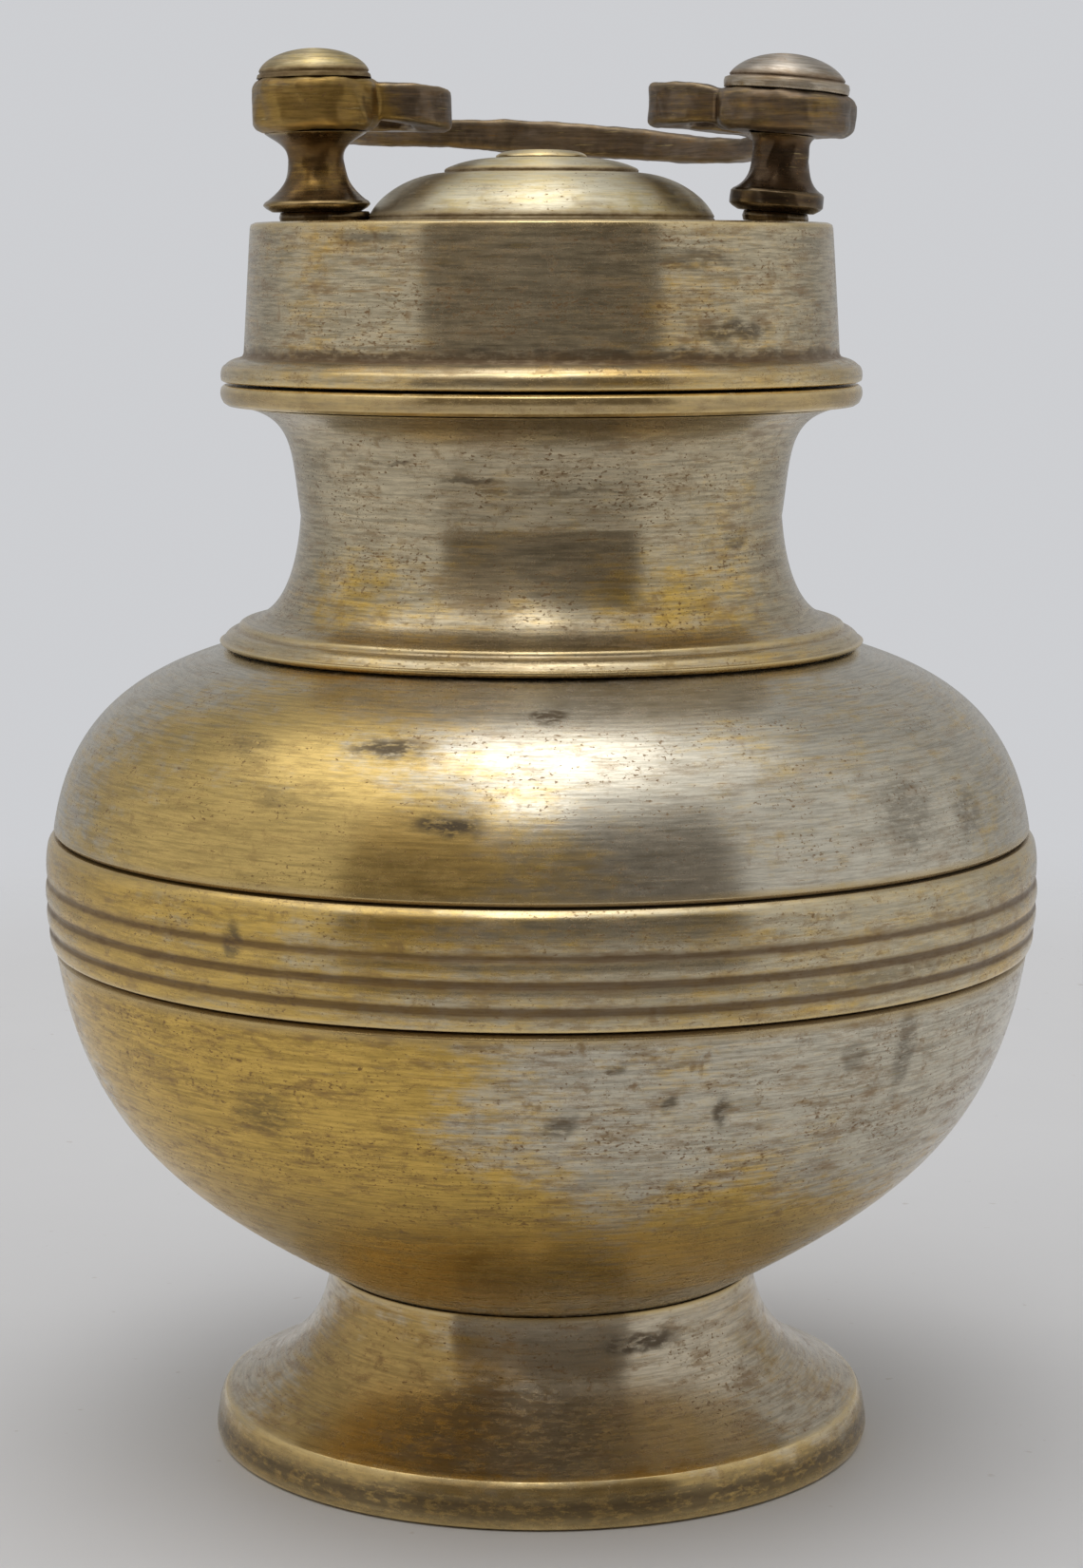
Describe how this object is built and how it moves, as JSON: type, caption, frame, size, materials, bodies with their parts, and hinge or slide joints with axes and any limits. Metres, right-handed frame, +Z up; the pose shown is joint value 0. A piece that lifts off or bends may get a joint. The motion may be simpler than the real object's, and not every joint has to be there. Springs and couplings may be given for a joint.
{
  "type": "lidded holy water pot",
  "caption": "Turned brass water pot with a pedestal foot, ribbed belly band, waisted neck and a screw lid with posts and a flat looped handle.",
  "frame": {"origin": "centre of the foot's underside, on the surface that the pot stands on", "axes": "+Z up along the pot's axis; +X towards the right-hand post; +Y towards the handle's loop, at the back"},
  "size_m": [0.1046, 0.1046, 0.1465],
  "materials": {
    "pot_brass": "turned brass, silvery grey where tarnished and golden where worn, brown pits",
    "lid_brass": "turned brass, silvery grey tarnish with brown specks",
    "dome_brass": "pale polished brass",
    "left_post_brass": "golden brown aged brass",
    "right_cap_brass": "brown grey aged brass, worn bright on top",
    "dark_bronze": "dark brown patina",
    "seal_leather": "dark oiled leather"
  },
  "bodies": {
    "pot": {"foot": "pot_brass", "lower_bowl": "pot_brass", "belly_band": "pot_brass", "upper_bowl": "pot_brass", "neck": "pot_brass", "mouth_ring": "pot_brass"},
    "seal": {"lid_seal": "seal_leather"},
    "lid": {"lid_shell": "lid_brass", "lid_dome": "dome_brass", "dome_rivet": "dome_brass", "left_post_washer": "dark_bronze", "right_post_washer": "dark_bronze", "left_post": "left_post_brass", "right_post": "dark_bronze", "left_cap": "left_post_brass", "right_cap": "right_cap_brass", "handle": "dark_bronze"}
  },
  "joints": [
    {"name": "lid_lift", "type": "slide", "parent": "pot", "child": "seal", "axis": [0, 0, 1], "range_m": [0, 0.012]},
    {"name": "lid_turn", "type": "hinge", "parent": "seal", "child": "lid", "pos_m": [0, 0, 0.11245], "axis": [0, 0, 1], "range_deg": [0, 1080]}
  ],
  "couplings": [
    {"joint": "lid_lift", "follows": "lid_turn", "m_per_rad": 0.0006366}
  ]
}
